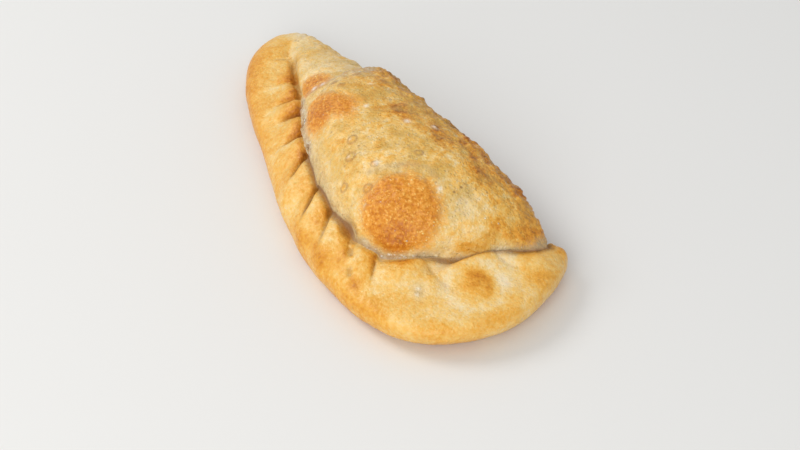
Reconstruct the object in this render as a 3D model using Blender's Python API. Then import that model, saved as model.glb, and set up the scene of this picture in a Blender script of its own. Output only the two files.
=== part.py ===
"""Fried empanada: a puffed half-moon of dough with a rope-folded rim and a broad pressed flap at one end.

The long side lies along X, the folded spine faces +Y, the sealed rim faces -Y, and the flat base is at z = 0.
Named sizes are millimetres; MM turns them into metres where points are made.
"""
import math

import bmesh
import bpy
from mathutils import Vector

MM = 0.001

# Filled pocket, narrow tip to flap: x, edge under the rim, edge at the spine, crown height.
POCKET_SECTIONS = [
    (-84.0, 27.0, 34.0, 12.0),
    (-74.0, 20.0, 35.5, 15.0),
    (-57.0, 10.5, 36.0, 20.5),
    (-38.0, 1.5, 36.5, 27.0),
    (-14.0, -11.5, 36.5, 35.5),
    (8.0, -20.0, 36.5, 38.0),
    (28.0, -25.0, 36.5, 38.0),
    (42.0, -23.0, 36.0, 36.0),
    (53.0, -12.0, 35.0, 31.0),
    (64.0, 6.0, 33.0, 23.0),
    (74.0, 22.0, 30.0, 12.0),
]
SHOULDER_SHARE = 0.36           # level of the pocket's widest line, as a share of its crown
POCKET_SQUARENESS = 0.9         # under 1 fills out the corners of the cross-section
POCKET_UNDERLAP = 20.0          # how far the pocket's underside spreads below the rim
POCKET_STEPS = 60
POCKET_SIDES = 40

# Sealed rim, narrow tip to flap: x, y, half width and height of the roll along its middle line.
RIM_PATH = [
    (-76.0, 34.5, 3.0, 8.0),
    (-80.5, 30.5, 6.5, 12.0),
    (-82.5, 24.5, 8.0, 13.5),
    (-77.5, 14.5, 8.5, 14.0),
    (-66.0, 7.0, 9.0, 14.0),
    (-49.0, -1.0, 9.5, 14.0),
    (-32.0, -8.0, 8.8, 14.0),
    (-15.0, -15.5, 9.0, 14.0),
    (3.0, -22.3, 9.0, 13.5),
    (20.0, -26.8, 9.3, 13.5),
    (36.0, -27.3, 11.0, 13.5),
    (52.0, -24.0, 13.8, 13.5),
    (66.0, -14.8, 15.5, 13.5),
    (74.0, -1.0, 15.8, 13.5),
    (76.8, 13.0, 13.0, 12.5),
    (76.0, 25.0, 8.3, 10.0),
    (73.5, 31.5, 4.0, 6.0),
]
RIM_TOP_SQUARENESS = 0.85
RIM_BASE_SQUARENESS = 0.55      # the underside turns to the plate on a small radius
RIM_LEAN = 0.14                 # share by which the roll is higher at the pocket and lower at the margin
RIM_STEPS = 110
RIM_SIDES = 20

# Folds of the rim, tip first: knuckle x and y against the pocket, tail x and y at the outer margin,
# half width and crest height. The last three are the broad pleats of the flap.
FOLDS = [
    (-76.0, 26.0, -81.0, 17.0, 9.0, 15.5),
    (-65.0, 15.5, -70.0, 7.0, 8.5, 17.5),
    (-52.5, 9.5, -59.0, 1.0, 6.0, 17.5),
    (-43.0, 5.0, -48.0, -5.0, 6.0, 18.0),
    (-32.5, -1.0, -34.0, -10.5, 6.5, 18.0),
    (-21.0, -7.0, -19.0, -17.0, 6.5, 18.0),
    (-7.0, -13.0, 1.0, -26.0, 6.5, 18.0),
    (8.0, -19.0, 17.0, -31.0, 6.5, 17.5),
    (22.0, -23.0, 31.0, -33.0, 7.0, 17.0),
    (36.0, -24.0, 46.0, -31.0, 9.0, 16.0),
    (54.0, -15.0, 65.0, -24.0, 13.0, 15.0),
    (68.0, -1.0, 79.0, -5.0, 12.0, 15.8),
    (70.0, 11.0, 79.0, 24.0, 8.0, 15.0),
]
KNUCKLE_REACH = 0.75            # how far a fold runs past its knuckle and tail, in half widths
FOLD_TAPER = 0.25               # loss of width and height from a fold's middle to its tail
FOLD_SIDES = 24
FOLD_RINGS = 14

SINK = 1.5                      # every form reaches this far below the base before it is trimmed
VOXEL = 1.3
FACE_SHARE = 0.17               # share of the fused mesh's faces that is kept
TRIM_BOX = 260.0
CENTRE = Vector((0.0, -0.8, 0.0))      # middle of the outline, which becomes the origin


def spline(rows, share):
    """Values at a share (0 to 1) of the way along rows, on a Catmull-Rom curve."""
    last = len(rows) - 1
    place = min(max(share, 0.0), 1.0) * last
    i = min(int(place), last - 1)
    f = place - i
    four = (rows[max(i - 1, 0)], rows[i], rows[i + 1], rows[min(i + 2, last)])
    return [0.5 * (2 * b + (c - a) * f + (2 * a - 5 * b + 4 * c - d) * f ** 2
                   + (3 * b - a - 3 * c + d) * f ** 3)
            for a, b, c, d in zip(*four)]


def squared(value, power):
    """Sine or cosine bent towards a superellipse, keeping its sign."""
    return math.copysign(abs(value) ** power, value)


def add_loft(mesh, rings):
    """Skin rings of points, in millimetres, and close both ends with a face."""
    loops = [[mesh.verts.new(Vector(point) * MM) for point in ring] for ring in rings]
    sides = len(loops[0])
    for near, far in zip(loops, loops[1:]):
        for k in range(sides):
            n = (k + 1) % sides
            mesh.faces.new((near[k], near[n], far[n], far[k]))
    mesh.faces.new(loops[0][::-1])
    mesh.faces.new(loops[-1])


def add_pocket(mesh):
    """The filled, puffed part: widest low down, domed above, flat below."""
    rings = []
    for i in range(POCKET_STEPS + 1):
        x, rim_edge, spine_edge, crown = spline(POCKET_SECTIONS, i / POCKET_STEPS)
        middle = 0.5 * (rim_edge + spine_edge)
        half = 0.5 * (spine_edge - rim_edge)
        shoulder = SHOULDER_SHARE * crown
        ring = []
        for k in range(POCKET_SIDES):
            turn = 2 * math.pi * k / POCKET_SIDES
            rise = squared(math.sin(turn), POCKET_SQUARENESS)
            reach = squared(math.cos(turn), POCKET_SQUARENESS)
            spread = POCKET_UNDERLAP * max(-rise, 0.0) if reach < 0 else 0.0
            y = middle + (half + spread) * reach
            z = shoulder + rise * (crown - shoulder if rise > 0 else shoulder + SINK)
            ring.append((x, y, z))
        rings.append(ring)
    add_loft(mesh, rings)


def rim_frame(share):
    """Point on the rim's middle line, the direction across it, its half width and its height."""
    x, y, half, height = spline(RIM_PATH, share)
    step = 0.5 / RIM_STEPS
    ahead = spline(RIM_PATH, share + step)
    behind = spline(RIM_PATH, share - step)
    across = Vector((ahead[1] - behind[1], behind[0] - ahead[0], 0.0)).normalized()
    return Vector((x, y, 0.0)), across, half, height


def add_rim(mesh):
    """The rolled edge, which widens into the flap."""
    rings = []
    for i in range(RIM_STEPS + 1):
        point, across, half, height = rim_frame(i / RIM_STEPS)
        level = 0.5 * height
        ring = []
        for k in range(RIM_SIDES):
            turn = 2 * math.pi * k / RIM_SIDES
            upper = math.sin(turn) > 0
            power = RIM_TOP_SQUARENESS if upper else RIM_BASE_SQUARENESS
            rise = squared(math.sin(turn), power)
            reach = squared(math.cos(turn), power)
            z = level + rise * (level * (1.0 - RIM_LEAN * reach) if upper else level + SINK)
            ring.append(point + across * half * reach + Vector((0.0, 0.0, z)))
        rings.append(ring)
    add_loft(mesh, rings)


def add_fold(mesh, knuckle_x, knuckle_y, tail_x, tail_y, half, crest):
    """One fold of the rope: an egg of dough, full at the knuckle and slim at the tail."""
    knuckle = Vector((knuckle_x, knuckle_y, 0.0))
    tail = Vector((tail_x, tail_y, 0.0))
    middle = 0.5 * (knuckle + tail)
    along = (tail - knuckle).normalized()
    across = Vector((-along.y, along.x, 0.0))
    reach = 0.5 * (tail - knuckle).length + KNUCKLE_REACH * half
    egg = bmesh.ops.create_uvsphere(mesh, u_segments=FOLD_SIDES, v_segments=FOLD_RINGS, radius=1.0)
    for vert in egg["verts"]:
        u, v, w = vert.co
        taper = 1.0 - FOLD_TAPER * u
        z = 0.5 * crest * (1.0 + w) * taper
        vert.co = (middle + along * reach * u + across * half * v * taper + Vector((0.0, 0.0, z))) * MM


def dough_material():
    material = bpy.data.materials.new("fried_dough")
    material.use_nodes = True
    shader = material.node_tree.nodes["Principled BSDF"]
    shader.inputs["Base Color"].default_value = (0.72, 0.44, 0.17, 1.0)
    shader.inputs["Roughness"].default_value = 0.48
    shader.inputs["Metallic"].default_value = 0.0
    return material


def base_cutter():
    """A box below z = 0 that trims the forms to one flat base."""
    mesh = bmesh.new()
    bmesh.ops.create_cube(mesh, size=TRIM_BOX * MM)
    bmesh.ops.translate(mesh, verts=mesh.verts, vec=(0.0, 0.0, -0.5 * TRIM_BOX * MM))
    data = bpy.data.meshes.new("base_cutter")
    mesh.to_mesh(data)
    mesh.free()
    cutter = bpy.data.objects.new("base_cutter", data)
    bpy.context.collection.objects.link(cutter)
    cutter.hide_render = True
    cutter.display_type = "WIRE"
    return cutter


def build_empanada():
    """Press the pocket, the rim and its folds into one body of dough with a flat base."""
    mesh = bmesh.new()
    add_pocket(mesh)
    add_rim(mesh)
    for fold in FOLDS:
        add_fold(mesh, *fold)
    bmesh.ops.translate(mesh, verts=mesh.verts, vec=-CENTRE * MM)
    data = bpy.data.meshes.new("empanada")
    mesh.to_mesh(data)
    mesh.free()
    data.materials.append(dough_material())
    empanada = bpy.data.objects.new("empanada", data)
    bpy.context.collection.objects.link(empanada)

    fuse = empanada.modifiers.new("fuse", "REMESH")
    fuse.mode = "VOXEL"
    fuse.voxel_size = VOXEL * MM
    soften = empanada.modifiers.new("soften", "SMOOTH")
    soften.iterations = 2
    thin = empanada.modifiers.new("thin", "DECIMATE")
    thin.ratio = FACE_SHARE
    trim = empanada.modifiers.new("trim", "BOOLEAN")
    trim.operation = "DIFFERENCE"
    trim.solver = "EXACT"
    trim.object = base_cutter()


for leftover in list(bpy.data.objects):
    bpy.data.objects.remove(leftover)
build_empanada()
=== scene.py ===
import math

import bmesh
import bpy
import numpy as np
from mathutils import Matrix, Vector, noise
from mathutils.bvhtree import BVHTree


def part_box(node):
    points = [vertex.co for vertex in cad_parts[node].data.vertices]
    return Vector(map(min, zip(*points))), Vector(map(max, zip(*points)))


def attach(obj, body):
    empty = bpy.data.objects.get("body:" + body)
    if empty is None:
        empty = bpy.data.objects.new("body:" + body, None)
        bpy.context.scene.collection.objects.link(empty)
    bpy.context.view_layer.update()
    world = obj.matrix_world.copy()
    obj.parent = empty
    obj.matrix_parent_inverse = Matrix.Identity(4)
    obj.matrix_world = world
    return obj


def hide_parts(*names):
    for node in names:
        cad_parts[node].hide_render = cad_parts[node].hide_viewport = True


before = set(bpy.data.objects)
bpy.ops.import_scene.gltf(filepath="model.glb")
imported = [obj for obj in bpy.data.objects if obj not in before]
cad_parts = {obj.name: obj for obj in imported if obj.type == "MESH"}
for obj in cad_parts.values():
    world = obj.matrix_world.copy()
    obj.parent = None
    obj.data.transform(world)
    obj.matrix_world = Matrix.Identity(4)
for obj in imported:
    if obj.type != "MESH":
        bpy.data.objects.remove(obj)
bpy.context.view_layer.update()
low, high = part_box("empanada")


# --------------------------------------------
# The filled pocket. A disc of wheat dough is folded over its filling, so the long back is a fold
# and the front is where the two layers meet. Steam puffs the middle while it fries.
# Sizes are millimetres in the maker's own frame, X along the back, until the dough is finished.
# --------------------------------------------
MM = 0.001

# Tip to flap: x, edge under the margin, edge at the back, crown height, height of the widest line.
POCKET = [
    (-84.0, 28.0, 36.5, 12.5, 5.0),
    (-74.0, 20.2, 37.5, 16.0, 6.5),
    (-57.0, 10.8, 36.5, 20.5, 9.0),
    (-38.0, 2.2, 36.5, 26.5, 11.0),
    (-14.0, -11.5, 36.8, 35.2, 12.5),
    (8.0, -20.0, 36.3, 37.6, 13.5),
    (28.0, -24.0, 35.8, 37.4, 14.0),
    (42.0, -23.0, 35.0, 35.5, 14.5),
    (53.0, -14.0, 33.6, 31.0, 15.0),
    (64.0, 3.5, 31.8, 24.3, 14.5),
    (74.0, 20.5, 29.5, 13.0, 8.0),
]
POCKET_SQUARENESS = 0.9
POCKET_UNDERLAP = 20.0          # how far the underside runs out below the margin
SINK = 1.5                      # every form reaches this far below the base before it is cut flat


def along(rows, share):
    """Values at a share (0 to 1) of the way along rows, on a smooth curve through them."""
    last = len(rows) - 1
    place = min(max(share, 0.0), 1.0) * last
    i = min(int(place), last - 1)
    f = place - i
    four = (rows[max(i - 1, 0)], rows[i], rows[i + 1], rows[min(i + 2, last)])
    return [0.5 * (2 * b + (c - a) * f + (2 * a - 5 * b + 4 * c - d) * f ** 2
                   + (3 * b - a - 3 * c + d) * f ** 3)
            for a, b, c, d in zip(*four)]


def squared(value, power):
    """Sine or cosine bent towards a squarer outline, keeping its sign."""
    return math.copysign(abs(value) ** power, value)


def lofted(name, rings):
    """A closed form skinned over rings of points."""
    mesh = bmesh.new()
    loops = [[mesh.verts.new(point) for point in ring] for ring in rings]
    for near, far in zip(loops, loops[1:]):
        for k in range(len(near)):
            n = (k + 1) % len(near)
            mesh.faces.new((near[k], near[n], far[n], far[k]))
    mesh.faces.new(loops[0][::-1])
    mesh.faces.new(loops[-1])
    bmesh.ops.recalc_face_normals(mesh, faces=mesh.faces)
    data = bpy.data.meshes.new(name)
    mesh.to_mesh(data)
    mesh.free()
    return data


def pocket_rings(steps=110, sides=72):
    rings = []
    for i in range(steps + 1):
        x, front, back, crown, shoulder = along(POCKET, i / steps)
        middle = 0.5 * (front + back)
        half = 0.5 * (back - front)
        ring = []
        for k in range(sides):
            turn = 2 * math.pi * k / sides
            rise = squared(math.sin(turn), POCKET_SQUARENESS)
            reach = squared(math.cos(turn), POCKET_SQUARENESS)
            spread = POCKET_UNDERLAP * max(-rise, 0.0) if reach < 0 else 0.0
            z = shoulder + rise * (crown - shoulder if rise > 0 else shoulder + SINK)
            ring.append((x, middle + (half + spread) * reach, z))
        rings.append(ring)
    return rings


pocket = lofted("pocket", pocket_rings())


# --------------------------------------------
# The sealed margin. The two layers of dough are pinched together and rolled inwards; towards one
# end they are only pressed flat, which leaves a broad round flap.
# --------------------------------------------
# Tip to flap, along the middle of the roll: x, y, half width, height and how far the outer edge
# has curled up off the pan.
MARGIN = [
    (-54.0, 29.5, 0.8, 2.5, 0.0),
    (-65.5, 33.0, 2.0, 5.5, 0.0),
    (-74.5, 36.0, 3.5, 9.0, 0.0),
    (-80.5, 32.4, 7.0, 13.0, 0.0),
    (-82.9, 25.0, 7.8, 14.0, 0.0),
    (-77.6, 14.6, 8.3, 13.6, 0.0),
    (-66.0, 7.1, 9.0, 13.2, 0.0),
    (-49.0, -0.9, 9.4, 13.2, 0.0),
    (-32.0, -7.9, 8.8, 13.2, 0.0),
    (-15.0, -15.3, 8.8, 13.2, 0.0),
    (3.0, -22.0, 8.8, 13.0, 0.0),
    (20.0, -26.6, 9.2, 13.0, 0.0),
    (36.0, -27.2, 10.8, 13.2, 0.3),
    (52.5, -24.9, 14.3, 13.4, 1.4),
    (67.3, -17.2, 17.3, 13.4, 2.8),
    (74.9, -2.8, 16.8, 13.6, 3.8),
    (76.2, 12.6, 13.2, 13.2, 4.0),
    (74.9, 25.0, 8.3, 12.0, 3.6),
    (72.2, 31.8, 5.0, 9.5, 2.2),
    (66.5, 29.5, 2.4, 6.0, 0.3),
    (58.0, 25.0, 0.8, 2.5, 0.0),
]
MARGIN_INNER_SQUARENESS = 0.55
MARGIN_OUTER_SQUARENESS = 0.95
MARGIN_BASE_SQUARENESS = 0.7
MARGIN_LEAN = 0.22              # the roll is this share higher at the pocket, and lower outside


def margin_rings(steps=240, sides=40):
    rings = []
    for i in range(steps + 1):
        x, y, half, height, curl = along(MARGIN, i / steps)
        ahead = along(MARGIN, (i + 0.5) / steps)
        behind = along(MARGIN, (i - 0.5) / steps)
        across = Vector((ahead[1] - behind[1], behind[0] - ahead[0], 0.0)).normalized()
        level = 0.5 * height
        ring = []
        for k in range(sides):
            turn = 2 * math.pi * k / sides
            upper = math.sin(turn) > 0
            power = MARGIN_OUTER_SQUARENESS if math.cos(turn) > 0 else MARGIN_INNER_SQUARENESS
            if not upper:
                power = MARGIN_BASE_SQUARENESS
            rise = squared(math.sin(turn), power)
            reach = squared(math.cos(turn), power)
            z = level + rise * (level * (1.0 - MARGIN_LEAN * reach) if upper else level + SINK)
            z += curl * max(reach, 0.0) ** 2
            ring.append(Vector((x, y, z)) + across * half * reach)
        rings.append(ring)
    return rings


margin = lofted("margin", margin_rings())


# --------------------------------------------
# The rope. The margin is folded over itself again and again from the tip to the flap, and each
# fold lies on the next like a shingle: full and round at the pocket, slim at the outside.
# --------------------------------------------
class Wire:
    """What comes out of a node. Arithmetic on it adds Math nodes to the same tree."""

    def __init__(self, graph, socket):
        self.graph = graph
        self.socket = socket

    def __add__(self, other):
        return self.graph.math("ADD", self, other)

    def __sub__(self, other):
        return self.graph.math("SUBTRACT", self, other)

    def __mul__(self, other):
        return self.graph.math("MULTIPLY", self, other)

    def __pow__(self, other):
        return self.graph.math("POWER", self, other)

    def __radd__(self, other):
        return self.graph.math("ADD", other, self)

    def __rsub__(self, other):
        return self.graph.math("SUBTRACT", other, self)

    def __rmul__(self, other):
        return self.graph.math("MULTIPLY", other, self)

    def __rtruediv__(self, other):
        return self.graph.math("DIVIDE", other, self)


class Graph:
    """One node tree, for a material or for geometry."""

    def __init__(self, tree):
        self.tree = tree

    def node(self, kind, settings=None, values=None, output=0):
        """Add a node: its settings, then its sockets by name or number. Returns one output."""
        made = self.tree.nodes.new(kind)
        for name, value in (settings or {}).items():
            if name == "stops":
                ramp = made.color_ramp
                while len(ramp.elements) < len(value):
                    ramp.elements.new(1.0)
                for element, (place, colour) in zip(ramp.elements, value):
                    element.position = place
                    element.color = colour
            else:
                setattr(made, name, value)
        for name, value in (values or {}).items():
            if isinstance(value, Wire):
                self.tree.links.new(value.socket, made.inputs[name])
            else:
                made.inputs[name].default_value = value
        return Wire(self, made.outputs[output])

    def math(self, operation, *values):
        return self.node("ShaderNodeMath", {"operation": operation}, dict(enumerate(values)))

    def ease(self, value, start, end):
        """0 below start, 1 above end, and a smooth step between."""
        return self.node("ShaderNodeMapRange", {"interpolation_type": "SMOOTHSTEP"},
                         {"Value": value, "From Min": start, "From Max": end})

    def mixed(self, share, a, b, mode="MIX"):
        return self.node("ShaderNodeMix", {"data_type": "RGBA", "blend_type": mode},
                         {0: share, 6: a, 7: b}, output=2)


def geometry_tree(name, inputs):
    """An empty geometry tree with named inputs; returns its graph, its inputs and its end."""
    tree = bpy.data.node_groups.new(name, "GeometryNodeTree")
    tree.interface.new_socket("Geometry", in_out="INPUT", socket_type="NodeSocketGeometry")
    for label, kind in inputs:
        tree.interface.new_socket(label, in_out="INPUT", socket_type="NodeSocket" + kind)
    tree.interface.new_socket("Geometry", in_out="OUTPUT", socket_type="NodeSocketGeometry")
    start = tree.nodes.new("NodeGroupInput")
    end = tree.nodes.new("NodeGroupOutput")
    graph = Graph(tree)
    given = {socket.name: Wire(graph, socket) for socket in start.outputs if socket.name}
    return graph, given, end


def ended(graph, given, end, geometry):
    """The end of a geometry tree: plain geometry in its material. Returns the tree."""
    real = graph.node("GeometryNodeRealizeInstances", None, {"Geometry": geometry})
    done = graph.node("GeometryNodeSetMaterial", None, {
        "Geometry": real, "Material": given["Material"]})
    graph.tree.links.new(done.socket, end.inputs[0])
    return graph.tree


def placed(name, data):
    """An object with its data, in the scene."""
    holder = bpy.data.objects.new(name, data)
    bpy.context.scene.collection.objects.link(holder)
    return holder


def applied(holder):
    """The plain mesh that an object's modifier makes; the object is removed."""
    bpy.context.view_layer.update()
    result = bpy.data.meshes.new_from_object(holder.evaluated_get(
        bpy.context.evaluated_depsgraph_get()))
    bpy.data.objects.remove(holder)
    return result


def grown(name, data, tree, values):
    """Run a geometry tree on mesh data with its inputs set, and return the plain mesh."""
    holder = placed(name, data)
    modifier = holder.modifiers.new(name, "NODES")
    modifier.node_group = tree
    for socket in tree.interface.items_tree:
        if socket.in_out == "INPUT" and socket.name in values:
            modifier[socket.identifier] = values[socket.name]
    return applied(holder)


# The creases between folds, tip to flap: inner end x and y, outer end x and y. A fold fills the
# room between one crease and the next: its crest height, its lean towards the flap (degrees) and
# how far it runs on under the pocket, in half widths.
CREASES = [
    (-69.0, 20.0, -76.0, 9.0),
    (-54.0, 11.5, -61.0, 1.5),
    (-42.5, 5.5, -50.0, -5.5),
    (-34.5, 2.0, -40.0, -10.5),
    (-24.0, -5.0, -26.5, -17.5),
    (-13.0, -11.0, -6.5, -25.0),
    (4.0, -18.0, 12.5, -33.0),
    (17.0, -22.0, 28.0, -36.0),
    (33.0, -25.5, 45.0, -37.0),
    (46.0, -24.0, 56.0, -35.0),
]
FOLDS = [
    (15.6, 5.0, 0.85), (15.8, 8.0, 0.85), (16.8, 13.0, 0.85), (16.8, 13.0, 0.85),
    (16.8, 13.0, 0.90), (16.8, 9.0, 1.15), (16.6, 9.0, 1.15), (16.0, 8.0, 1.10), (15.0, 5.0, 1.00),
]
FOLD_OVERLAP = 1.66             # width of a fold against the room between its two creases
TAIL_REACH = 0.05               # how far a fold runs on at the outside
FOLD_TAPER = 0.16
FOLD_SQUARENESS = 0.76
FOLD_FALL = 11.0                # degrees that a fold slopes down to the outside


def fold_tree():
    """Squarish eggs of dough, one on each point, turned and sized by the point's own values."""
    graph, given, end = geometry_tree("rope_folds", [
        ("Squareness", "Float"), ("Taper", "Float"), ("Material", "Material")])
    ball = graph.node("GeometryNodeMeshUVSphere", None, {
        "Segments": 40, "Rings": 24, "Radius": 1.0})
    place = graph.node("GeometryNodeInputPosition")
    parts = graph.tree.nodes.new("ShaderNodeSeparateXYZ")
    graph.tree.links.new(place.socket, parts.inputs[0])
    u, v, w = (Wire(graph, parts.outputs[i]) for i in range(3))
    taper = 1.0 - given["Taper"] * u

    def bent(value):
        size = graph.math("ABSOLUTE", value) ** given["Squareness"]
        return graph.math("SIGN", value) * size * taper

    shaped = graph.node("ShaderNodeCombineXYZ", None, {0: u, 1: bent(v), 2: bent(w)})
    egg = graph.node("GeometryNodeSetPosition", None, {"Geometry": ball, "Position": shaped})
    turn, size = (graph.node("GeometryNodeInputNamedAttribute", {"data_type": "FLOAT_VECTOR"},
                             {"Name": name}) for name in ("turn", "size"))
    laid = graph.node("GeometryNodeInstanceOnPoints", None, {
        "Points": given["Geometry"], "Instance": egg, "Rotation": turn, "Scale": size})
    return ended(graph, given, end, laid)


def fold_points():
    """One point for each fold, at its middle, with its turn and its size."""
    data = bpy.data.meshes.new("fold_points")
    places, turns, sizes = [], [], []
    for before, after, (crest, lean, reach) in zip(CREASES, CREASES[1:], FOLDS):
        before, after = np.array(before), np.array(after)
        knuckle, tail = Vector(0.5 * (before + after)[:2]), Vector(0.5 * (before + after)[2:])
        run = tail - knuckle
        gap = Vector(0.5 * ((after - before)[:2] + (after - before)[2:]))
        half = 0.5 * FOLD_OVERLAP * abs(run.normalized().cross(gap))
        turn = (Matrix.Rotation(math.atan2(run.y, run.x), 4, "Z")
                @ Matrix.Rotation(math.radians(FOLD_FALL), 4, "Y")
                @ Matrix.Rotation(math.radians(lean), 4, "X"))
        middle = 0.5 * (knuckle + tail) + 0.5 * (TAIL_REACH - reach) * half * run.normalized()
        places.append((*middle, 0.5 * crest))
        turns.append(turn.to_euler())
        sizes.append((0.5 * run.length + 0.5 * (reach + TAIL_REACH) * half, half, 0.5 * crest))
    data.from_pydata(places, [], [])
    for name, rows in (("turn", turns), ("size", sizes)):
        kept = data.attributes.new(name, "FLOAT_VECTOR", "POINT")
        kept.data.foreach_set("vector", [value for row in rows for value in row])
    return data


crust = bpy.data.materials.new("fried_crust")
crust.use_nodes = True
folds = grown("rope_folds", fold_points(), fold_tree(), {
    "Squareness": FOLD_SQUARENESS, "Taper": FOLD_TAPER, "Material": crust})


# --------------------------------------------
# The dough as one piece. Pocket, margin and folds are the same dough, pressed together, so they
# are fused into one closed skin that is cut flat where it has lain in the pan.
# --------------------------------------------
SKIN_CELL = 0.45                # side of one face of the skin
ROUGH_CELL = SKIN_CELL * 1.3    # the forms are first pressed together on coarser faces


def fused(parts, cell):
    """One closed skin around overlapping closed forms."""
    mesh = bmesh.new()
    for part in parts:
        mesh.from_mesh(part)
    data = bpy.data.meshes.new("dough")
    mesh.to_mesh(data)
    mesh.free()
    holder = placed("dough", data)
    wrap = holder.modifiers.new("wrap", "REMESH")
    wrap.mode = "VOXEL"
    wrap.voxel_size = cell
    return applied(holder)


def cut_flat(data, level):
    """Everything below a level is removed and the opening is closed with one face."""
    mesh = bmesh.new()
    mesh.from_mesh(data)
    everything = mesh.verts[:] + mesh.edges[:] + mesh.faces[:]
    cut = bmesh.ops.bisect_plane(mesh, geom=everything, plane_co=(0.0, 0.0, level),
                                 plane_no=(0.0, 0.0, -1.0), clear_outer=True)
    rim = [piece for piece in cut["geom_cut"] if isinstance(piece, bmesh.types.BMEdge)]
    bmesh.ops.edgeloop_fill(mesh, edges=rim)
    bmesh.ops.recalc_face_normals(mesh, faces=mesh.faces)
    mesh.to_mesh(data)
    mesh.free()
    return data


skin = fused([pocket, margin, folds], ROUGH_CELL)
skin = fused([cut_flat(skin, 0.0)], SKIN_CELL)


# --------------------------------------------
# Hand marks and swelling. Fingers leave sharp creases between the folds and along the pocket;
# the hot filling puffs the middle above the tip, bubbles the back and lifts the flap's edge.
# --------------------------------------------
def read(values, name, size):
    """One value, or one row of values, for each point or face of a mesh."""
    flat = np.empty(len(values) * size)
    values.foreach_get(name, flat)
    return flat.reshape(-1, size) if size > 1 else flat


points = read(skin.vertices, "co", 3)
pairs = np.empty(len(skin.edges) * 2, int)
skin.edges.foreach_get("vertices", pairs)
pairs = pairs.reshape(-1, 2)
degree = np.bincount(pairs.ravel(), minlength=len(points)).astype(float)
BASE_BAND = 0.25                # points below this height belong to the flat base
on_base = points[:, 2] < BASE_BAND
points[on_base, 2] = 0.0


def averaged(values, rounds, keep=0.4):
    """Values on the skin, smoothed over their neighbours."""
    values = values.copy()
    flat = values.reshape(len(values), -1)
    for _ in range(rounds):
        around = np.stack([
            np.bincount(pairs[:, 0], flat[pairs[:, 1], k], len(flat))
            + np.bincount(pairs[:, 1], flat[pairs[:, 0], k], len(flat))
            for k in range(flat.shape[1])], 1) / degree[:, None]
        flat[:] = keep * flat + (1 - keep) * around
    return values


def settle(rounds, share=None):
    """Smooth the skin, all of it or by a share (0 to 1) at each point, and keep its base flat."""
    global points
    smooth = averaged(points, rounds)
    points = smooth if share is None else (
        points * (1 - share[:, None]) + smooth * share[:, None])
    points[on_base, 2] = 0.0


def facing():
    """Outward direction at every point of the skin."""
    skin.vertices.foreach_set("co", points.ravel())
    skin.update()
    return read(skin.vertex_normals, "vector", 3)


def eased(value, start, end):
    """0 at start, 1 at end, with a smooth step between."""
    share = np.clip((value - start) / (end - start), 0, 1)
    return share * share * (3 - 2 * share)


def beside(line):
    """Distance of every point to a line seen from above, its side (+ left) and its share along."""
    line = np.array(line, float)[:, :2]
    best = np.full(len(points), 1e9)
    side = np.zeros(len(points))
    share = np.zeros(len(points))
    lengths = np.linalg.norm(np.diff(line, axis=0), axis=1)
    run = np.concatenate([[0], np.cumsum(lengths)]) / lengths.sum()
    for i, (start, stop) in enumerate(zip(line, line[1:])):
        way = stop - start
        offset = points[:, :2] - start
        part = np.clip(offset @ way / (way @ way), 0, 1)
        gap = offset - part[:, None] * way
        distance = np.hypot(gap[:, 0], gap[:, 1])
        nearer = distance < best
        best[nearer] = distance[nearer]
        side[nearer] = np.sign(way[0] * gap[nearer, 1] - way[1] * gap[nearer, 0])
        share[nearer] = run[i] + part[nearer] * (run[i + 1] - run[i])
    return best, side, share


def curve(rows, count=24):
    """More points on a smooth curve through a few."""
    return [along(rows, i / (count - 1)) for i in range(count)]


# Painted shade: how dark each crease and hollow is painted, 0 to 1.
crevice = np.zeros(len(points))         # where the skin lies in a crease, 0 to 1


def crease(line, depth, width, lip=0.0, lip_width=3.0, fades=(0.25, 0.25), dark=0.3):
    """Press a groove along a line, raise a lip along its right-hand side, and paint shade into the
    groove as much as dark says.
    """
    global points, crevice
    distance, side, share = beside(curve(line))
    ends = np.minimum(eased(share, -0.01, fades[0]), eased(-share, -1.01, -1 + fades[1]))
    top = eased(facing()[:, 2], -0.2, 0.4) * eased(points[:, 2], 2.0, 6.0) * ends
    press = depth * np.exp(-(distance / width) ** 2)
    rise = lip * np.exp(-distance / lip_width) * (side < 0) * (1 - np.exp(-(distance / 0.6) ** 2))
    points += facing() * ((rise - press) * top)[:, None]
    crevice = np.maximum(crevice, dark * top * np.exp(-(distance / width) ** 2))


def gap_to(forms, lowest):
    """Distance from every point of the skin to some forms, without their faces below a height."""
    mesh = bmesh.new()
    for form in forms:
        mesh.from_mesh(form)
    below = [face for face in mesh.faces if face.calc_center_median().z < lowest]
    bmesh.ops.delete(mesh, geom=below, context="FACES")
    tree = BVHTree.FromBMesh(mesh)
    mesh.free()
    return np.array([tree.find_nearest(point)[3] for point in points])


def near(centre, radius, turn=0.0):
    """Distance from a centre in radii; radius is one number for a ball or three for an egg."""
    offset = points - np.array(centre)
    c, s = math.cos(math.radians(turn)), math.sin(math.radians(turn))
    offset = np.stack([c * offset[:, 0] + s * offset[:, 1],
                       -s * offset[:, 0] + c * offset[:, 1], offset[:, 2]], 1)
    return np.linalg.norm(offset / np.array(radius), axis=1)


def swell(centre, radius, height, edge=0.5, turn=0.0):
    """Raise the skin around a centre; the smaller edge is, the flatter the top."""
    global points
    lift = eased(-near(centre, radius, turn), -1.0, -1.0 + edge)
    points += facing() * (height * lift)[:, None]


POCKET_FOOT = 6.0               # below this height the pocket lies hidden under the margin
pocket_gap = gap_to([pocket], POCKET_FOOT)
rope_gap = gap_to([margin, folds], -SINK - 1.0)
outward = averaged(pocket_gap - rope_gap, 2)    # over the rope and the flap; negative on the pocket
settle(4)

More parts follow.
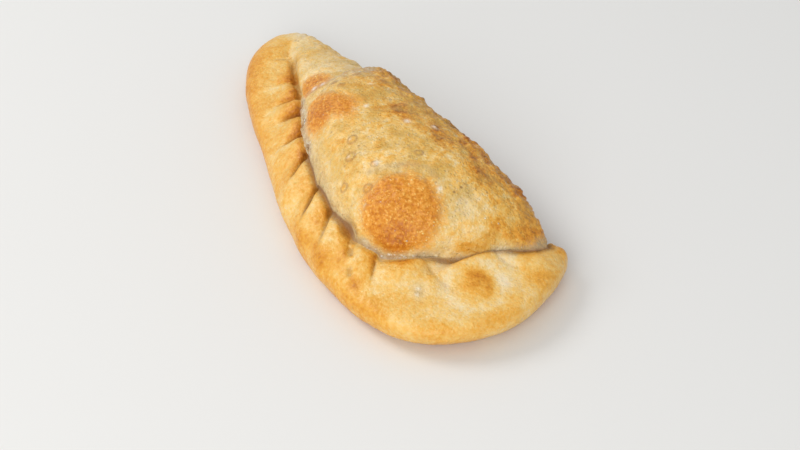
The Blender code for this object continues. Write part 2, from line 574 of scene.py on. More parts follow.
# The rope and the flap climb a little towards the pocket. The flap does so in waves, for which
# the place along X, the half width and the height are given, and at its middle in one flat lobe.
ROPE_CLIMB = 1.0
FLAP_CLIMB = 2.6
FLAP_WAVES = [(56.0, 2.8, 1.2), (61.2, 2.4, -1.6)]
LOBE_MIDDLE = 67.0
LOBE_CLIMB = 1.4
lengthwise = points[:, 0]
lift = ROPE_CLIMB + (FLAP_CLIMB - ROPE_CLIMB) * eased(lengthwise, 44.0, 54.0)
for middle, width, wave in FLAP_WAVES:
    lift += wave * np.exp(-((lengthwise - middle) / width) ** 2)
lift += LOBE_CLIMB * eased(-np.abs(lengthwise - LOBE_MIDDLE), -5.0, -1.0)
climb = np.where(outward > 0, eased(-pocket_gap, -10.0, -1.0), eased(-rope_gap, -3.0, 0.0))
points[:, 2] += climb * lift * eased(points[:, 2], 5.0, 9.0) * eased(lengthwise, -60.0, -30.0)

# Where the pocket bulges over the rope and the flap, the two meet in a narrow crease, with painted
# shade along it, strongest along the rope's middle and beside the flap.
JOIN_DEPTH = 1.0
JOIN_WIDTH = 1.0
JOIN_SHADE_WIDTH = 1.3


def joined(width):
    """1 on the line where the pocket meets the margin, fading out at the tip and near the pan."""
    return (np.exp(-(pocket_gap ** 2 + rope_gap ** 2) / width ** 2)
            * eased(points[:, 2], 4.0, 9.0) * eased(points[:, 0], -70.0, -66.0))


points -= facing() * (JOIN_DEPTH * joined(JOIN_WIDTH))[:, None]
shaded = joined(JOIN_SHADE_WIDTH)
shaded *= (0.28 + 0.72 * eased(-np.abs(points[:, 0] - 10.0), -28.0, -22.0)
           + 0.60 * eased(points[:, 0], 54.0, 59.0))
crevice = np.maximum(crevice, shaded)
# The groove under the first fold is deep, with painted shade in it.
crease([(-67.5, 21.0), (-64.5, 17.5), (-60.5, 14.8), (-56.0, 12.4), (-51.5, 9.9), (-46.5, 7.4),
        (-40.5, 4.6)], depth=1.7, width=0.8, fades=(0.2, 0.15), dark=0.6)

# Round the tip, and at the flap's far corner, the margin runs into the pocket without a crease:
# centre and radii of each smooth place.
SMOOTH_PLACES = [
    ((-80.0, 33.0, 12.0), (14.0, 14.0, 16.0)),
    ((-68.0, 38.5, 2.0), (15.0, 8.0, 13.0)),
    ((73.0, 36.5, 3.0), (9.0, 7.0, 12.0)),
]
for centre, radius in SMOOTH_PLACES:
    settle(90, eased(-near(centre, radius), -1.0, -0.4))

# The puffed middle stands above the tip by a step that runs across the pocket.
STEP_LINE = [(-31.0, -3.5), (-33.0, 0.0), (-33.5, 4.1), (-30.5, 6.5), (-28.3, 9.0), (-28.0, 12.7),
             (-29.5, 17.6), (-29.0, 21.0), (-29.9, 25.0), (-31.0, 36.0)]
STEP_HEIGHT = 1.7
step_gap, side, _ = beside(curve(STEP_LINE, 40))
past_step = step_gap * -side
on_pocket = eased(-outward, 0.5, 3.0) * eased(points[:, 2], 8, 16)
rise = STEP_HEIGHT * eased(past_step, -2.4, 2.4) * (1 - eased(past_step, 6.0, 28.0)) * on_pocket
points += facing() * rise[:, None]
swell((-28.5, 6.0, 28.0), (2.4, 8.0, 6.0), 0.4, edge=0.9)
swell((-28.0, 17.0, 31.0), (2.2, 6.0, 5.0), 0.5, edge=0.9)

# Grooves of the rope, each overlapped by the fold before it: depth, width, how much shade is
# painted into it, how far out it runs and how deep a thumb has pressed its inner end.
GROOVES = [
    (0.5, 0.6, 0.10, 0.70, 0.2), (0.6, 0.6, 0.20, 0.70, 0.5), (1.1, 0.6, 0.50, 0.75, 1.1),
    (1.2, 0.6, 0.60, 0.75, 1.3), (1.2, 0.6, 0.60, 0.80, 1.2), (1.8, 0.5, 1.00, 0.95, 0.4),
    (2.0, 0.5, 1.00, 1.00, 0.1), (1.5, 0.6, 0.55, 1.00, 0.1), (0.5, 0.6, 0.15, 0.60, 0.2),
    (1.0, 0.6, 0.50, 0.60, 0.1),
]
for ends, (depth, width, dark, length, thumb) in zip(CREASES, GROOVES):
    inner, outer = Vector(ends[:2]), Vector(ends[2:])
    crease([inner, inner.lerp(outer, 0.35), inner.lerp(outer, 0.7)], thumb, 2.4,
           fades=(0.02, 0.9), dark=0.0)
    crease([inner, inner.lerp(outer, 0.5 * length), inner.lerp(outer, length)], depth, width,
           lip=0.35 * depth, lip_width=4.5, fades=(0.02, 0.4), dark=dark)
swell((-57.0, 8.0, 14.0), (9.0, 7.0, 8.0), 0.8, edge=1.0)
KNUCKLE_SWELL = 0.8
for before, after in zip(CREASES[1:5], CREASES[2:6]):
    knuckle_x, knuckle_y = 0.42 * np.add(before, after)[:2] + 0.08 * np.add(before, after)[2:]
    swell((knuckle_x, knuckle_y, 16.5), (5.5, 5.5, 7.0), KNUCKLE_SWELL, edge=1.0)

# Outside, the folds melt into one smooth margin.
rope_line = [(row[0], row[1] - 1.0) for row in MARGIN[4:-3]]
distance, side, _ = beside(curve(rope_line, 60))
settle(60, eased(distance * -side, -3.0, 5.0))

# The flap: broad soft pads, one soft valley, one fold at its far corner, and a bubble.
swell((57.0, -19.0, 12.0), (17.0, 12.0, 12.0), 1.0, edge=1.0, turn=30.0)
swell((74.0, -1.0, 12.0), (13.0, 15.0, 12.0), 1.0, edge=1.0, turn=20.0)
swell((78.0, 18.0, 11.0), (8.0, 10.0, 10.0), 1.0, edge=1.0)
crease([(54.0, -13.5), (57.0, -11.6), (61.6, -12.3), (66.8, -12.1), (71.1, -11.3), (76.3, -11.1)],
       depth=0.6, width=2.0, lip=0.5, lip_width=4.0, fades=(0.25, 0.5), dark=0.1)
crease([(64.0, 9.0), (70.3, 9.6), (74.7, 11.1), (79.0, 14.3)],
       depth=0.5, width=1.8, lip=0.4, dark=0.0)
swell((75.0, -3.5, 14.0), (6.5, 6.5, 6.5), 0.6, edge=1.0)

# Two short hollows where the last folds of the rope end, with painted shade in them.
crease([(34.8, -26.2), (37.0, -28.2), (40.0, -29.6)],
       depth=1.2, width=1.0, lip=0.5, lip_width=2.5, dark=0.42)
crease([(41.8, -31.8), (43.4, -33.0), (45.4, -34.0)],
       depth=1.0, width=1.1, lip=0.5, lip_width=2.5, dark=0.30)

# Between the seventh fold and the pocket the dough sinks into a hollow, darkened with painted
# shade.
swell((31.0, -24.0, 19.0), (7.0, 4.5, 5.0), -1.5, edge=1.0, turn=-15.0)
in_hollow = eased(-near((30.0, -24.6, 18.0), (6.0, 3.2, 3.5), -15.0), -1.0, -0.2)
crevice = np.maximum(crevice, 0.85 * in_hollow)

# Blisters of the pocket: two broad ones, and small bubbles with their centre and radius.
swell((43.3, -11.7, 29.0), (14.2, 14.2, 14.2), 0.5, edge=0.2)
swell((-15.0, -1.0, 31.0), (13.0, 8.0, 8.0), 0.45, edge=0.3, turn=10.0)
BUBBLES = [
    (8.6, -6.6, 35.2, 1.9), (14.1, -11.4, 33.5, 2.0), (29.8, -15.6, 32.2, 1.8),
    (20.7, -19.1, 28.0, 1.7), (24.4, -8.7, 35.8, 1.4), (20.8, 19.9, 36.2, 1.8),
    (30.3, 5.8, 37.8, 1.6), (-19.6, 9.1, 33.5, 1.7), (-23.8, 9.3, 31.8, 1.6),
    (-22.1, 17.4, 32.8, 1.9), (-26.5, 24.5, 29.9, 1.9), (-12.0, 21.0, 34.0, 2.0),
]
for x, y, z, radius in BUBBLES:
    swell((x, y, z), (radius, radius, 1.3 * radius), 0.5, edge=0.8)

# The folded back is wavy and blistered.
BACK_WAVE = 1.25
wave = np.array([noise.fractal(Vector((x * 0.12, z * 0.08, 3.7)), 0.6, 2.0, 3)
                 for x, y, z in points])
out = facing()
back = eased(points[:, 1], 22.0, 31.0) * eased(points[:, 2], 3.0, 9.0) * eased(out[:, 1], 0.0, 0.6)
points += out * (BACK_WAVE * wave * back)[:, None]
settle(1)


# --------------------------------------------
# Where the crust browns. Dough that stands proud of the oil's bubbles colours first, so each
# point of the skin keeps how much it browns, blisters, creases and soaks up oil, and where shade
# and highlights are painted on.
# --------------------------------------------
rope = eased(outward, -0.5, 0.5)
inward = -outward
out = facing()
x, y, z = points.T
hollow = np.einsum("ij,ij->i", averaged(points, 14) - points, out)


def glow(centre, radius, turn=0.0, edge=1.0):
    """1 at a centre, falling smoothly to 0 at its radius; a smaller edge keeps the middle full."""
    return eased(-near(centre, radius, turn), -1.0, -1.0 + edge)


def patch(centre, radius, soft, turn=0.0):
    """0.5 on the outline of a browned patch, 1 inside and 0 outside within a soft edge."""
    return np.clip(0.5 + (1 - near(centre, radius, turn)) * min(radius) / soft, 0, 1)


def trail(rows, width):
    """1 along a curve in space, falling away from it."""
    distance = np.min([np.linalg.norm(points - np.array(place), axis=1)
                       for place in curve(rows, 30)], axis=0)
    return np.exp(-(distance / width) ** 2)


# Browning, from 0 for pale dough to 1 for brown; it also carries painted shade and highlight on the
# folds and painted shade in one hollow.
toast = 0.34 + 0.08 * rope
toast += 0.30 * eased(y, 8.0, 30.0) * eased(x, -34.0, -20.0) * (1 - rope)
toast += 0.12 * eased(y, 26.0, 34.0) * eased(x, -34.0, -20.0) * (1 - rope)
toast -= 0.11 * (1 - rope) * eased(-x, 27.0, 36.0)
toast -= 0.10 * (1 - rope) * eased(-inward, -16.0, -3.0) * eased(x, -34.0, -24.0)
toast += 0.18 * eased(-z, -7.0, -1.0)
toast += 0.24 * rope * eased(outward, 5.0, 15.0) * eased(-x, -60.0, -30.0)
toast -= 0.06 * rope * eased(x, 36.0, 54.0)
toast += 0.12 * eased(-hollow, 0.02, 0.16)
toast += 0.42 * trail([(60.5, 2.2, 18.8), (63.3, 8.6, 20.0), (62.7, 13.2, 23.3)], 2.8)
toast += 0.10 * trail([(53.5, -8.0, 21.0), (58.7, -0.5, 19.3), (63.3, 8.6, 19.5)], 3.0)

# Places that brown more than the dough round them, or less: how much, centre, radii and turn.
TOASTED = [
    # the crown and the pocket's sides
    (-0.20, (54.5, 7.0, 29.0), (9.0, 15.0, 12.0), 20.0),
    (-0.18, (56.7, -3.2, 21.5), (6.5, 6.5, 5.0), 0.0),
    (0.30, (69.0, 20.0, 18.0), (10.0, 13.0, 10.0), 0.0),
    (0.13, (-4.0, 11.0, 36.0), (22.0, 8.0, 8.0), 0.0),
    (0.50, (6.5, 15.2, 37.3), (9.0, 6.5, 6.0), 0.0),
    (0.20, (1.7, 9.5, 37.6), (4.0, 3.0, 4.0), 0.0),
    (0.26, (25.5, 17.0, 36.8), (6.0, 4.0, 5.0), 0.0),
    (0.16, (46.0, 19.0, 33.0), (10.0, 5.0, 6.0), 0.0),
    (0.12, (32.0, 14.0, 37.0), (9.0, 7.0, 6.0), 0.0),
    (0.14, (29.0, 20.0, 36.0), (14.0, 6.0, 7.0), 0.0),
    (0.20, (19.3, -2.5, 37.4), (4.0, 3.0, 4.0), 0.0),
    (0.40, (-14.0, -2.2, 31.5), (10.0, 7.0, 8.0), -20.0),
    (0.70, (46.8, -17.8, 21.5), (12.0, 8.0, 9.0), 10.0),
    (-0.20, (38.0, -5.5, 35.3), (10.0, 7.0, 7.0), 0.0),
    # the flap
    (-0.14, (62.0, -21.0, 13.0), (9.0, 6.0, 8.0), 25.0),
    (-0.10, (60.2, -7.8, 13.8), (6.0, 5.0, 5.0), 0.0),
    (-0.14, (78.0, 4.0, 14.0), (6.0, 10.0, 8.0), 0.0),
    (-0.20, (61.0, -8.0, 14.0), (8.0, 6.0, 8.0), 0.0),
    (0.26, (53.5, -17.5, 15.3), (5.5, 3.5, 6.0), 30.0),
    (0.30, (48.5, -34.5, 11.5), (4.5, 3.5, 5.0), 0.0),
    (0.20, (58.0, -36.0, 9.0), (12.0, 6.0, 7.0), 12.0),
    (0.12, (78.0, -25.0, 9.0), (12.0, 8.0, 7.0), 40.0),
    (-0.15, (50.6, -15.3, 16.5), (6.0, 5.0, 4.0), 0.0),
    (-0.40, (70.5, 12.5, 15.6), (8.0, 7.0, 6.0), 0.0),
    (0.12, (80.5, 16.4, 12.0), (7.0, 7.0, 7.0), 0.0),
    (0.12, (86.0, -6.0, 10.0), (8.0, 22.0, 10.0), 10.0),
    (0.20, (84.0, 17.0, 12.0), (6.0, 8.0, 8.0), 0.0),
    (0.22, (75.0, -4.5, 14.5), (7.0, 7.0, 7.0), 0.0),
    # the rope and the tip
    (0.20, (-80.0, 36.0, 12.0), (8.0, 4.0, 8.0), 0.0),
    (0.16, (20.0, -34.0, 10.0), (20.0, 7.0, 7.0), -15.0),
    (0.14, (29.0, -34.5, 11.5), (10.0, 5.0, 7.0), -15.0),
    (0.14, (-42.0, -1.0, 16.0), (7.0, 5.0, 7.0), -25.0),
    (0.06, (3.0, -22.5, 16.5), (14.0, 6.0, 7.0), -25.0),
    (0.22, (16.5, -27.5, 15.5), (7.0, 5.0, 7.0), 0.0),
    (-0.12, (40.0, -26.0, 16.5), (6.0, 5.0, 6.0), 0.0),
    (-0.24, (-81.0, 30.0, 13.0), (9.0, 9.0, 9.0), 0.0),
]
# On the pocket: one place a little browner, and painted shade in the hollow beside the seventh
# fold.
POCKET_TOAST_AND_SHADE = [(0.12, (25.8, -22.0, 24.9), (12.0, 6.0, 8.0), -15.0),
                  (0.55, (31.0, -24.3, 18.5), (7.0, 4.0, 4.5), -10.0)]
# On the rope: painted shade on the lower sides of the first two folds, by their grooves.
ROPE_FOLD_SHADE = [(0.12, (-58.0, 11.5, 13.0), (10.0, 4.5, 8.0), -28.0),
                (0.14, (-47.0, 6.5, 14.0), (6.0, 4.0, 8.0), -28.0)]
for share, places in ((1.0, TOASTED), (1 - rope, POCKET_TOAST_AND_SHADE), (rope, ROPE_FOLD_SHADE)):
    for amount, centre, radius, turn in places:
        toast += amount * share * glow(centre, radius, turn)

# The bubble on the flap is brown on its top and on one side, with a pale ring round it.
arch = near((75.0, -4.5, 14.5), (6.8, 6.8, 6.8))
toast += 0.32 * np.exp(-((arch - 0.72) / 0.30) ** 2) * eased(y, -6.5, -1.5)
toast -= 0.16 * np.exp(-((arch - 1.45) / 0.25) ** 2)

# Each fold is painted pale on its crest, as a highlight, and browner where it turns down into the
# next groove, as painted shade, most of all in the middle of the rope.
for inner_x, inner_y, outer_x, outer_y in CREASES[1:]:
    line = [(inner_x, inner_y), (0.3 * inner_x + 0.7 * outer_x, 0.3 * inner_y + 0.7 * outer_y)]
    distance, side, share = beside(line)
    strength = 0.14 if inner_x > -10.0 else 0.24 if inner_x < -50.0 else 0.38
    toast += rope * (side < 0) * strength * np.exp(-(distance / 4.0) ** 2) * (1 - 0.85 * share)
    toast -= rope * (side > 0) * 0.10 * np.exp(-((distance - 2.0) / 2.5) ** 2)

# Blistered patches.
blister = np.maximum.reduce([
    patch((43.3, -11.7, 29.0), (14.0, 14.0, 14.0), 9.0),
    patch((-16.0, -3.0, 29.5), (9.5, 8.0, 9.0), 8.0, turn=-30.0),
    patch((-10.8, 1.2, 33.7), (9.5, 5.5, 8.0), 8.0, turn=14.0),
    patch((-39.0, 8.6, 24.2), (10.5, 6.5, 8.5), 6.0, turn=12.0) * eased(inward, 1.0, 3.5),
])

# Froth of tiny bubbles along the step, beside the first patch and from the third patch to the
# corner of the flap.
froth = np.maximum.reduce([
    0.62 * trail([(-37.0, 3.5, 22.0), (-34.1, 5.7, 24.6), (-32.8, 9.3, 27.4), (-29.8, 13.0, 29.8),
                  (-26.3, 17.3, 31.3), (-24.7, 21.4, 31.4), (-25.0, 25.0, 30.6)], 4.6),
    1.30 * trail([(-36.2, 2.4, 19.0), (-25.4, -3.0, 22.0), (-19.0, -7.0, 22.3), (-14.8, -9.9, 20.8),
                  (-11.0, -12.0, 20.5)], 3.6),
    0.75 * trail([(39.5, -23.5, 18.0), (42.5, -22.8, 16.5), (45.6, -22.0, 15.0),
                  (48.9, -18.2, 16.0), (51.7, -14.0, 17.0), (54.2, -9.6, 17.5),
                  (56.6, -5.2, 17.6)], 2.5),
]) * (1 - 0.7 * rope)

# Dough that stays grey and oily: along the pocket's edge, under the froth and on the thin fold of
# the flap.
edge_band = (1 - rope) * np.maximum(
    np.exp(-(inward / 5.0) ** 2), 0.66 * np.exp(-(inward / 11.0) ** 2) * eased(-x, -42.0, -32.0))
belly = glow((60.5, 2.0, 18.0), (8.0, 12.0, 9.0), turn=-22.0, edge=0.5)
oily = np.maximum.reduce([
    edge_band * eased(x, -36.0, -26.0) * (1 - 0.9 * belly) * eased(z, 9.0, 14.0)
    * (1 - 0.5 * glow((50.6, -15.3, 16.5), (7.0, 7.0, 6.0))),
    0.8 * froth,
    0.42 * on_pocket * eased(past_step, -3.0, 1.0) * (1 - eased(past_step, 5.0, 12.0)),
    0.35 * trail([(58.5, -10.8, 15.2), (62.0, -10.2, 14.0), (66.0, -10.3, 13.6),
                  (71.0, -11.0, 13.5)], 3.0),
    0.6 * trail([(63.5, -19.0, 13.5), (66.0, -21.5, 13.0)], 3.6),
    0.9 * (1 - rope) * np.exp(-(inward / 3.5) ** 2) * eased(y, 7.0, 10.0) * eased(x, 60.0, 64.0),
    0.62 * trail([(25.5, -11.5, 34.5), (28.5, -7.0, 36.2), (32.0, -2.0, 37.0)], 2.8),
    0.45 * trail([(33.0, -0.5, 37.0), (38.0, 3.5, 36.6), (45.0, 3.5, 34.0)], 2.6),
])

# Dark pits: a few all over the pocket, more along the back and on one line across the crown.
pit_gap, _, _ = beside(curve([(45.0, -1.0), (48.0, 3.5), (51.0, 10.0), (53.5, 18.0)]))
pitted = (1 - rope) * np.maximum(0.35 + 0.5 * eased(y, 14.0, 28.0) * eased(x, -30.0, -20.0),
                                 1.6 * np.exp(-(pit_gap / 3.2) ** 2) * eased(z, 24.0, 28.0))
rugged = (1 - rope) * (0.15 + 0.85 * eased(y, 14.0, 30.0)) * eased(x, -34.0, -24.0)

# Small bubbles are dark round the rim and pale on top.
bubble = np.zeros(len(points))
for bubble_x, bubble_y, bubble_z, radius in BUBBLES:
    gap = near((bubble_x, bubble_y, bubble_z), (radius, radius, 1.3 * radius))
    bubble += np.exp(-((gap - 0.85) / 0.30) ** 2) - 0.5 * np.exp(-(gap / 0.5) ** 2)

# Painted highlights: white glints, some on the larger bubbles and some alone: centre and radius.
PAINTED_GLINTS = [
    (8.0, -7.3, 35.3, 0.5), (13.5, -12.1, 33.6, 0.7), (29.3, -16.0, 32.2, 0.4),
    (14.0, 12.9, 37.9, 1.1), (20.8, 19.9, 36.2, 1.0), (24.6, -8.1, 36.0, 1.1),
    (-2.2, 7.1, 37.1, 0.8), (-35.6, 7.6, 24.6, 1.2), (-33.4, 9.8, 26.9, 1.0),
    (-27.0, -1.8, 22.6, 1.0), (64.2, -20.0, 13.5, 0.7), (66.0, -21.8, 13.1, 0.6),
    (82.5, -18.0, 10.5, 0.8), (85.0, -14.5, 10.5, 0.7), (86.8, -11.0, 10.5, 0.8),
    (46.5, 2.2, 33.8, 0.8), (-12.5, 16.5, 35.5, 0.8),
]
glint = np.maximum.reduce([np.exp(-(near(glint_spot[:3], glint_spot[3])) ** 2) for glint_spot in PAINTED_GLINTS])

# Close to the rope the dough stays smooth.
quiet = np.exp(-(inward / 16.0) ** 2) * (1 - rope)

marks = {
    "toast": toast, "quiet": quiet, "blister": blister, "oily": oily, "rope": rope,
    "froth": froth, "free": eased(z, 0.3, 3.5), "pitted": pitted, "rugged": rugged,
    "crevice": crevice, "hollow": np.clip(0.5 + hollow, 0, 1), "bubble": bubble, "glint": glint,
}

# The finished piece is put where the frame has its dough.
OUTLINE_MIDDLE = (0.0, -0.85)
skin.vertices.foreach_set("co", points.ravel())
shift = Vector((0.5 * (low.x + high.x) - OUTLINE_MIDDLE[0] * MM,
                0.5 * (low.y + high.y) - OUTLINE_MIDDLE[1] * MM, low.z))
skin.transform(Matrix.Translation(shift) @ Matrix.Scale(MM, 4))
for name, values in marks.items():
    kept = skin.attributes.new(name, "FLOAT", "POINT")
    kept.data.foreach_set("value", values)


# --------------------------------------------
# Fried skin. Hot oil raises fine blisters all over the pocket, and lumps where the dough was
# thin; the worked dough of the rope and the flap stays smoother.
# --------------------------------------------
def fried_skin_tree():
    sizes = ("Blister Size", "Blister Height", "Lump Size", "Lump Height", "Ripple Size",
             "Ripple Height", "Froth Size", "Froth Height", "Rope Share", "Seed")
    graph, given, end = geometry_tree("fried_skin", [
        *((name, "Float") for name in sizes), ("Material", "Material")])
    place = graph.node("GeometryNodeInputPosition")
    normal = graph.node("GeometryNodeInputNormal")

    def kept(name):
        return graph.node("GeometryNodeInputNamedAttribute", {"data_type": "FLOAT"}, {"Name": name})

    def clouds(size, detail):
        return graph.node("ShaderNodeTexNoise", {"noise_dimensions": "4D"}, {
            "Vector": place, "W": given["Seed"], "Scale": 1.0 / given[size], "Detail": detail,
            "Roughness": 0.5})

    def domes(size, full):
        cells = graph.node("ShaderNodeTexVoronoi", {"voronoi_dimensions": "4D"}, {
            "Vector": place, "W": given["Seed"], "Scale": 1.0 / given[size]})
        return graph.ease(cells, full, 0.0)

    share = 1.0 - (1.0 - given["Rope Share"]) * kept("rope")
    patchy = graph.ease(clouds("Ripple Size", 2.0), 0.35, 0.65)
    blisters = domes("Blister Size", 0.62) * (0.35 + 0.65 * patchy) * given["Blister Height"]
    lumps = (clouds("Lump Size", 2.0) - 0.5) * given["Lump Height"] * (1.0 + 2.6 * kept("rugged"))
    ripples = (clouds("Ripple Size", 1.0) - 0.5) * given["Ripple Height"] * 2.0
    froth = domes("Froth Size", 0.60) * kept("froth") * given["Froth Height"]
    height = (blisters * share + froth + lumps * (0.4 + 0.6 * share) + ripples) * kept("free")
    offset = graph.node("ShaderNodeVectorMath", {"operation": "SCALE"}, {
        0: normal, "Scale": height})
    raised = graph.node("GeometryNodeSetPosition", None, {
        "Geometry": given["Geometry"], "Offset": offset})
    return ended(graph, given, end, raised)


skin = grown("fried_skin", skin, fried_skin_tree(), {
    "Blister Size": 1.5 * MM, "Blister Height": 0.16 * MM,
    "Lump Size": 3.6 * MM, "Lump Height": 0.9 * MM,
    "Froth Size": 2.3 * MM, "Froth Height": 0.42 * MM,
    "Ripple Size": 12.0 * MM, "Ripple Height": 0.55 * MM,
    "Rope Share": 0.2, "Seed": 4.0, "Material": crust})

# The base was pressed flat, so it needs few faces.
BASE_TRIANGLES = 4000
TRIANGLES = 197000              # of the whole piece
BASE_SLACK = 0.02 * MM          # points within this of the base are thinned
FACE_SLACK = 0.03 * MM


def thinned(data, triangles, chosen=None):
    """The mesh with fewer triangles, taken from the chosen points only if there are any."""
    now = sum(len(face.vertices) - 2 for face in data.polygons)
    holder = placed("thinned", data)
    thin = holder.modifiers.new("thin", "DECIMATE")
    thin.ratio = triangles / now
    thin.use_collapse_triangulate = True
    if chosen is not None:
        group = holder.vertex_groups.new(name="chosen")
        group.add([int(i) for i in np.nonzero(chosen)[0]], 1.0, "REPLACE")
        thin.vertex_group = "chosen"
    return applied(holder)


heights = read(skin.vertices, "co", 3)[:, 2]
flat = heights < low.z + BASE_SLACK
face_heights = read(skin.polygons, "center", 3)[:, 2]
upper = 2 * int((face_heights > low.z + FACE_SLACK).sum())
skin = thinned(skin, upper + BASE_TRIANGLES, flat)
if len(skin.polygons) > TRIANGLES:
    skin = thinned(skin, TRIANGLES)
skin.polygons.foreach_set("use_smooth", [True] * len(skin.polygons))


# --------------------------------------------
# The crust. Fried wheat dough: cream where it stayed pale, gold where it is worked, orange-brown
# on the blistered patches, grey and oily along the creases. Thin oil gives it a soft sheen. Shade
# is painted into the creases and hollows, and glints onto the bubbles and the pocket.
# --------------------------------------------
def tone(red, green, blue):
    """A colour as it is mixed on a palette, 0 to 255, as the shader wants it."""
    return tuple(((c / 255 + 0.055) / 1.055) ** 2.4 for c in (red, green, blue)) + (1.0,)


CRUST_TONES = [
    (0.00, tone(240, 219, 180)),
    (0.20, tone(237, 208, 150)),
    (0.38, tone(235, 190, 106)),
    (0.54, tone(228, 167, 66)),
    (0.70, tone(212, 142, 40)),
    (0.85, tone(186, 114, 24)),
    (1.00, tone(148, 84, 16)),
]
BLISTER_TONES = [
    (0.00, tone(187, 105, 10)),
    (0.35, tone(215, 138, 38)),
    (0.60, tone(233, 165, 70)),
    (0.82, tone(242, 188, 98)),
    (1.00, tone(250, 222, 156)),
]
OILY_TONE = tone(188, 166, 126)
OLIVE_TONE = tone(198, 160, 80)
RING_TONE = tone(164, 116, 60)
PIT_TONE = tone(150, 104, 56)
CREASE_SHADE_TONE = tone(122, 62, 12)
SCUM_TONE = tone(206, 188, 156)
FROTH_AND_GLINT_TONE = tone(250, 244, 230)


def crust_material(material):
    graph = Graph(material.node_tree)
    shader = material.node_tree.nodes["Principled BSDF"]
    place = graph.node("ShaderNodeTexCoord", output=3)

    def kept(name):
        return graph.node("ShaderNodeAttribute", {"attribute_name": name}, output=2)

    def clouds(size, detail, roughness, seed):
        return graph.node("ShaderNodeTexNoise", {"noise_dimensions": "4D"}, {
            "Vector": place, "W": seed, "Scale": 1.0 / (size * MM), "Detail": detail,
            "Roughness": roughness})

    def cells(size, seed):
        return graph.node("ShaderNodeTexVoronoi", {"voronoi_dimensions": "4D"}, {
            "Vector": place, "W": seed, "Scale": 1.0 / (size * MM)})

    rope, toast, blister, oily = kept("rope"), kept("toast"), kept("blister"), kept("oily")
    pocket = 1.0 - rope
    quiet = kept("quiet")
    lively = pocket * (0.45 + 0.75 * graph.ease(toast, 0.25, 0.62)) * (1.0 - 0.8 * quiet)

    broad = clouds(15.0, 3.0, 0.55, 1.0) - 0.5
    patchy = clouds(5.5, 3.0, 0.6, 2.0) - 0.5
    spots = clouds(2.6, 2.0, 0.6, 6.0) - 0.5
    fine = clouds(1.15, 2.0, 0.6, 3.0) - 0.5
    grain_top = graph.ease(cells(1.0, 5.0), 0.60, 0.08)

    # Pale to brown, with a green tinge where the dough is thin.
    level = (toast + broad * 0.55 + patchy * (0.32 + 0.48 * lively) + spots * (0.28 + 0.50 * lively)
             + fine * (0.48 + 0.34 * lively) - (grain_top - 0.4) * (0.05 + 0.09 * lively))
    colour = graph.node("ShaderNodeValToRGB", {"stops": CRUST_TONES}, {0: level})
    olive = graph.ease(clouds(9.0, 3.0, 0.6, 8.0), 0.40, 0.62) * pocket
    colour = graph.mixed(olive * (0.60 - 0.30 * quiet), colour, OLIVE_TONE)

    # Blistered patches, with ragged edges.
    ragged = blister + patchy * 0.80 + spots * 0.50 + fine * 0.45
    browned_share = graph.ease(ragged, 0.20, 0.80)
    # The tops of the fine blisters are paler, as their own colour and partly as painted glints.
    speck = (0.58 + fine * 1.4 + spots * 0.5 + patchy * 0.45 + (grain_top - 0.4) * 0.42
             - (blister - 0.5) * 0.22 - (toast - 0.34) * 0.5)
    browned = graph.node("ShaderNodeValToRGB", {"stops": BLISTER_TONES}, {0: speck})
    colour = graph.mixed(browned_share, colour, browned)

    # Grey, oily dough; then the rims of the bubbles and the pits.
    grey = graph.ease(oily + patchy * 0.8 + fine * 0.6, 0.22, 0.95) * (1.0 - 0.8 * browned_share)
    colour = graph.mixed(grey * 0.85, colour, OILY_TONE)
    rings = graph.ease(kept("bubble") + spots * 0.6, 0.1, 0.9)
    colour = graph.mixed(rings * 0.50, colour, RING_TONE)
    clusters = graph.ease(clouds(5.0, 2.0, 0.6, 11.0), 0.40, 0.62)
    pits = graph.ease(cells(1.9, 12.0), 0.42, 0.12) * graph.ease(
        clusters + kept("pitted") * 0.8, 0.9, 1.5)
    colour = graph.mixed(pits * 0.75, colour, PIT_TONE)

    # Froth and its tiny bubbles; then white specks of froth, with painted glints: stray ones on the
    # pocket and those listed on the bubbles.
    frothy = graph.ease(kept("froth") + spots * 0.6 + patchy * 0.4, 0.22, 0.75)
    frothy = frothy * (1.0 - 0.6 * browned_share)
    colour = graph.mixed(frothy * 0.70, colour, SCUM_TONE)
    rims = graph.ease(cells(2.1, 9.0), 0.42, 0.62)
    colour = graph.mixed(frothy * rims * 0.40, colour, RING_TONE)
    scum = frothy * graph.ease(cells(1.4, 9.0), 0.50, 0.24) * graph.ease(
        clouds(3.0, 2.0, 0.6, 13.0), 0.40, 0.56)
    # Stray white dots on the pocket are painted glints.
    stray_glints = (graph.ease(cells(2.3, 10.0), 0.19, 0.09) * pocket
             * graph.ease(clouds(9.0, 1.0, 0.5, 7.0), 0.45, 0.60))
    white = graph.math("MAXIMUM", stray_glints * 0.6, kept("glint") * 0.75)
    white = graph.math("MAXIMUM", scum * 0.75, white)
    colour = graph.mixed(white, colour, FROTH_AND_GLINT_TONE)

    # Painted shade darkens the creases and hollows.
    shade = graph.math("MAXIMUM", kept("crevice") * 0.85,
                       graph.ease(kept("hollow"), 0.55, 0.85) * 0.35)
    colour = graph.mixed(shade, colour, CREASE_SHADE_TONE)
    graph.tree.links.new(colour.socket, shader.inputs["Base Color"])

    sheen = 0.38 + fine * 0.3 + patchy * 0.2 - oily * 0.10 - scum * 0.15 + kept("crevice") * 0.5
    graph.tree.links.new(sheen.socket, shader.inputs["Roughness"])

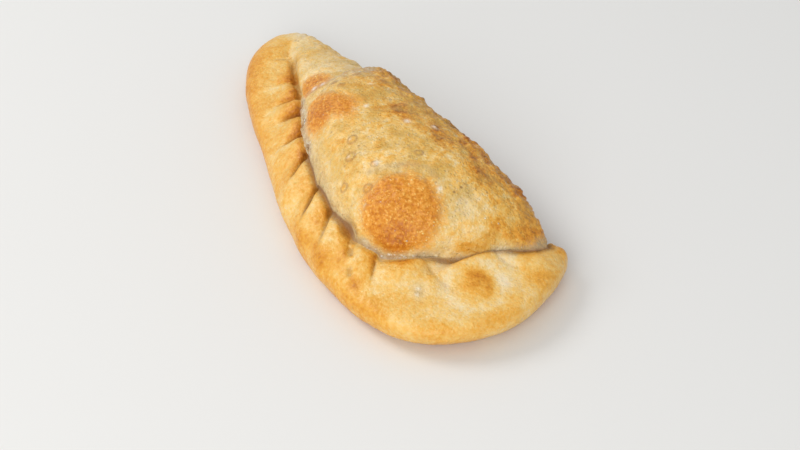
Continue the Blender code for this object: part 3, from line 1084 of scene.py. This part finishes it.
    height = (grain_top * (0.12 + 0.09 * pocket) + fine * (0.34 + 0.04 * pocket)
              + spots * (0.46 + 0.14 * pocket) + (scum + stray_glints) * 0.25)
    bump = graph.node("ShaderNodeBump", None, {"Strength": 0.9, "Distance": MM, "Height": height})
    graph.tree.links.new(bump.socket, shader.inputs["Normal"])
    for name, value in (("Metallic", 0.0), ("IOR", 1.39), ("Subsurface Weight", 0.10),
                        ("Subsurface Radius", (0.0030, 0.0016, 0.0007)),
                        ("Subsurface Scale", 1.0)):
        shader.inputs[name].default_value = value


crust_material(crust)
skin.materials.clear()
skin.materials.append(crust)
dough = placed("empanada_dough", skin)
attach(dough, "root")
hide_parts("empanada")


# --------------------------------------------
# The studio: a plain pale table, a broad soft lamp on the left, another beside the camera, and
# the soft light of a white room.
# --------------------------------------------
FLOOR_HALF = 3.0
floor_data = bpy.data.meshes.new("floor")
floor_data.from_pydata([(-FLOOR_HALF, -FLOOR_HALF, low.z), (FLOOR_HALF, -FLOOR_HALF, low.z),
                        (FLOOR_HALF, FLOOR_HALF, low.z), (-FLOOR_HALF, FLOOR_HALF, low.z)],
                       [], [(0, 1, 2, 3)])
floor = placed("floor", floor_data)
floor_finish = bpy.data.materials.new("pale_table")
floor_finish.use_nodes = True
floor_shader = floor_finish.node_tree.nodes["Principled BSDF"]
floor_shader.inputs["Base Color"].default_value = (0.80, 0.79, 0.77, 1.0)
floor_shader.inputs["Roughness"].default_value = 0.6
floor_data.materials.append(floor_finish)

scene = bpy.context.scene
scene.view_settings.view_transform = "Standard"
room = bpy.data.worlds.new("white_room")
room.use_nodes = True
room.node_tree.nodes["Background"].inputs["Color"].default_value = (0.96, 0.98, 1.0, 1.0)
room.node_tree.nodes["Background"].inputs["Strength"].default_value = 0.60
scene.world = room


def lamp(name, toward, distance, size, energy, colour):
    """A round soft lamp that looks at the middle of the piece."""
    data = bpy.data.lights.new(name, "AREA")
    data.shape = "DISK"
    data.size = size
    data.energy = energy
    data.color = colour
    holder = placed(name, data)
    holder.location = Vector(toward).normalized() * distance
    holder.rotation_euler = (-holder.location).to_track_quat("-Z", "Y").to_euler()


lamp("key", toward=(-0.79, -0.47, 0.90), distance=1.2, size=0.6, energy=5.2,
     colour=(1.0, 0.985, 0.96))
lamp("fill", toward=(0.62, -0.72, 0.52), distance=1.2, size=0.8, energy=6.5,
     colour=(1.0, 0.99, 0.97))

# The camera looks down on the piece from the rope's side, with the tip far and the flap near.
CAMERA_AZIMUTH = 53.4
CAMERA_RISE = 40.4
CAMERA_DISTANCE = 0.644
CAMERA_TARGET = Vector((21.7, 4.9, 0.0)) * MM
azimuth, elevation = math.radians(CAMERA_AZIMUTH), math.radians(CAMERA_RISE)
away = Vector((math.sin(azimuth) * math.cos(elevation),
               -math.cos(azimuth) * math.cos(elevation), math.sin(elevation)))
camera_data = bpy.data.cameras.new("camera")
camera_data.sensor_width = 36.0
camera_data.lens = 81.9
camera = placed("camera", camera_data)
camera.location = CAMERA_TARGET + away * CAMERA_DISTANCE
camera.rotation_euler = away.to_track_quat("Z", "Y").to_euler()
scene.camera = camera
